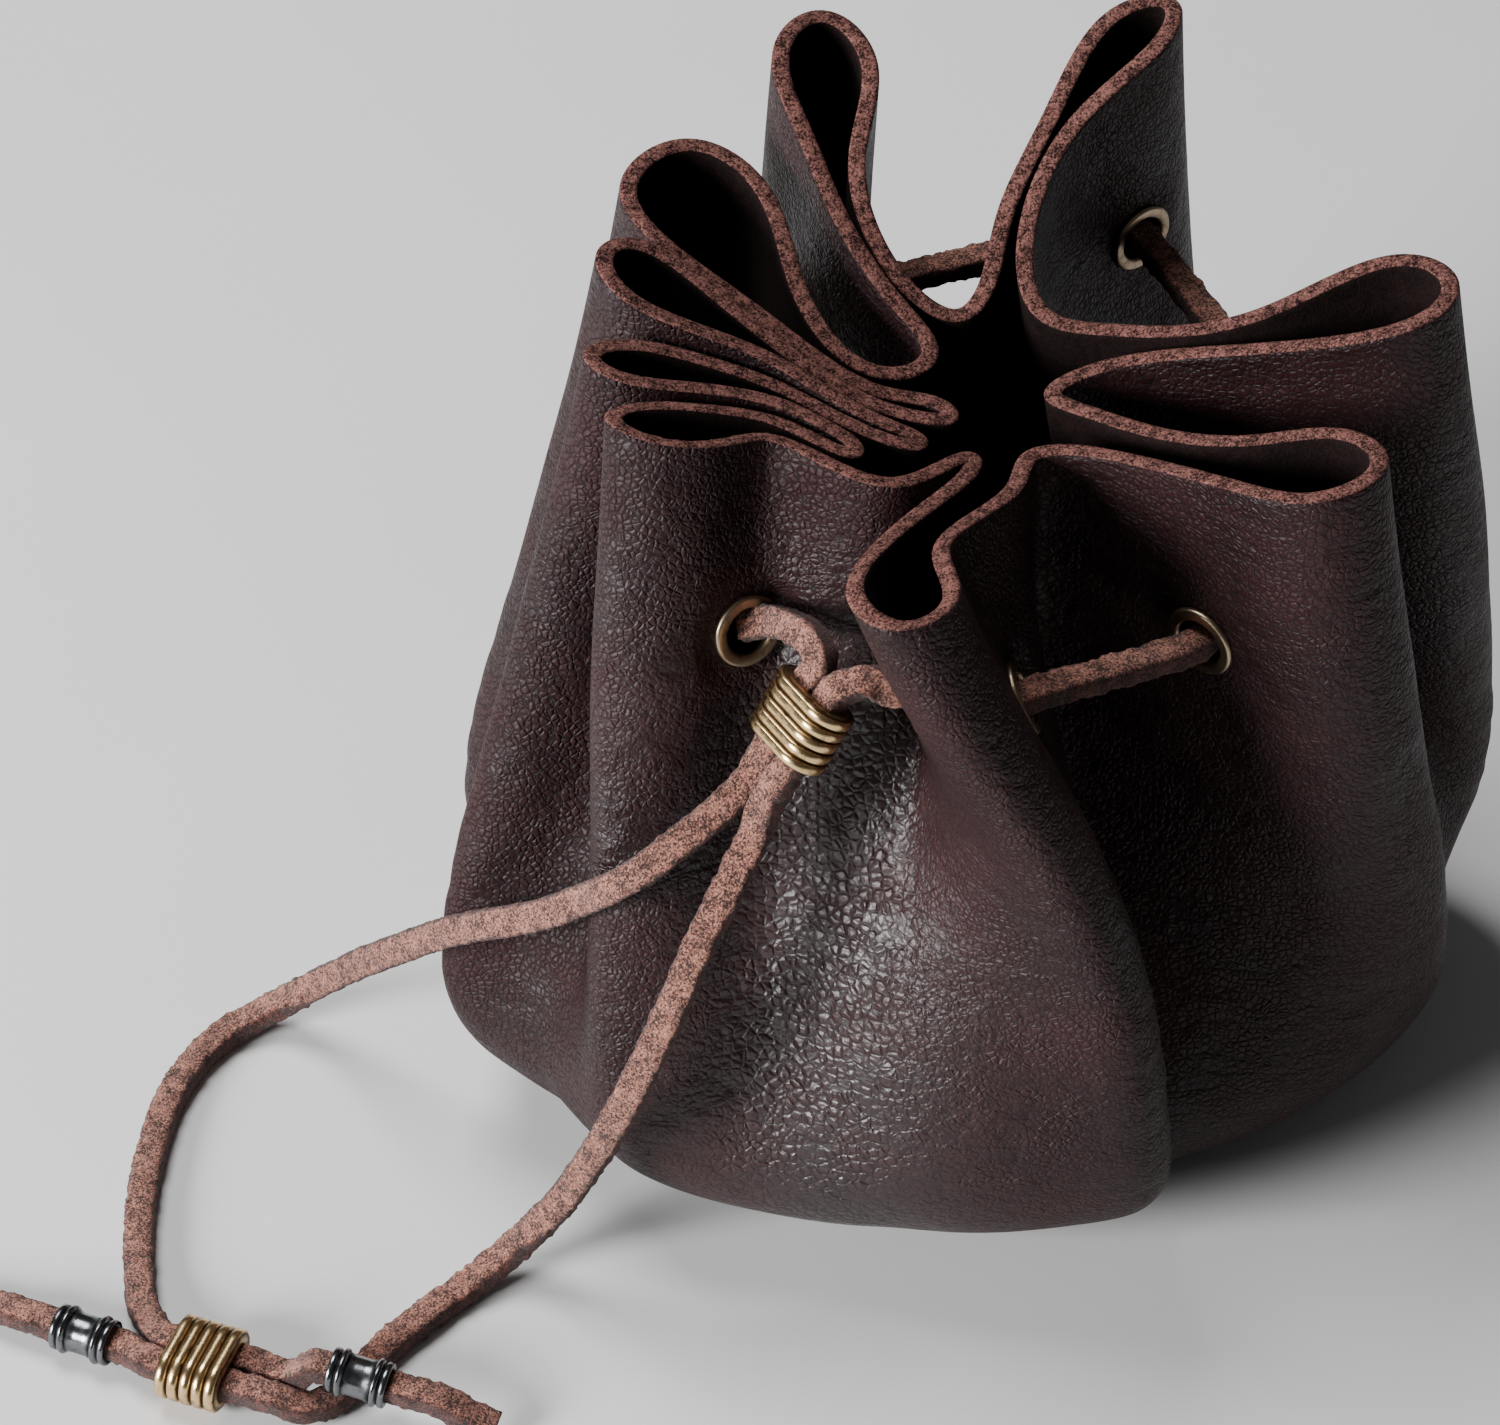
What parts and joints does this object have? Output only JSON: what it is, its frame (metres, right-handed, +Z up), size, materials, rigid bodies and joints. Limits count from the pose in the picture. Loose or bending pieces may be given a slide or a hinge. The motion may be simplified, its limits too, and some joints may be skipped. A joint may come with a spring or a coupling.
{
  "type": "drawstring dice bag",
  "caption": "Drawstring dice pouch: a leather disc gathered into a round bag by a flat suede lace through brass eyelets, with sliding cord beads.",
  "frame": {"origin": "on the surface the bag stands on, under the middle of its gathered mouth", "axes": "+Z up through the mouth, -Y towards the front where the lace's two ends leave, +X to the right of that view"},
  "size_m": [0.189, 0.1331, 0.1141],
  "materials": {
    "leather": "satin",
    "suede_lace": "matte",
    "eyelet_brass": "aged satin",
    "antique_brass": "aged polished",
    "gunmetal": "polished"
  },
  "bodies": {
    "pouch": {"pouch_leather": "leather", "lacing": "suede_lace", "strand_left": "suede_lace", "strand_right": "suede_lace", "eyelet_01": "eyelet_brass", "eyelet_02": "eyelet_brass", "eyelet_03": "eyelet_brass", "eyelet_04": "eyelet_brass", "eyelet_05": "eyelet_brass", "eyelet_06": "eyelet_brass", "eyelet_07": "eyelet_brass", "eyelet_08": "eyelet_brass", "eyelet_09": "eyelet_brass", "eyelet_10": "eyelet_brass", "eyelet_11": "eyelet_brass", "eyelet_12": "eyelet_brass", "eyelet_13": "eyelet_brass", "eyelet_14": "eyelet_brass", "eyelet_15": "eyelet_brass", "eyelet_16": "eyelet_brass", "eyelet_17": "eyelet_brass", "eyelet_18": "eyelet_brass", "washer_01": "eyelet_brass", "washer_02": "eyelet_brass", "washer_03": "eyelet_brass", "washer_04": "eyelet_brass", "washer_05": "eyelet_brass", "washer_06": "eyelet_brass", "washer_07": "eyelet_brass", "washer_08": "eyelet_brass", "washer_09": "eyelet_brass", "washer_10": "eyelet_brass", "washer_11": "eyelet_brass", "washer_12": "eyelet_brass", "washer_13": "eyelet_brass", "washer_14": "eyelet_brass", "washer_15": "eyelet_brass", "washer_16": "eyelet_brass", "washer_17": "eyelet_brass", "washer_18": "eyelet_brass"},
    "slider": {"slider_bead": "antique_brass"},
    "loop": {"loop_bead": "antique_brass"},
    "stop_left": {"stop_bead_left": "gunmetal"},
    "stop_right": {"stop_bead_right": "gunmetal"}
  },
  "joints": [
    {"name": "slider_slide", "type": "slide", "parent": "pouch", "child": "slider", "axis": [-0.4779, -0.2688, -0.8363], "range_m": [0, 0.005]},
    {"name": "loop_slide", "type": "slide", "parent": "pouch", "child": "loop", "axis": [0.9404, -0.3401, 0], "range_m": [0, 0.006]},
    {"name": "stop_left_slide", "type": "slide", "parent": "pouch", "child": "stop_left", "axis": [-0.9243, 0.3818, 0], "range_m": [0, 0.004]},
    {"name": "stop_right_slide", "type": "slide", "parent": "pouch", "child": "stop_right", "axis": [0.9594, -0.2598, -0.1099], "range_m": [0, 0.004]}
  ]
}
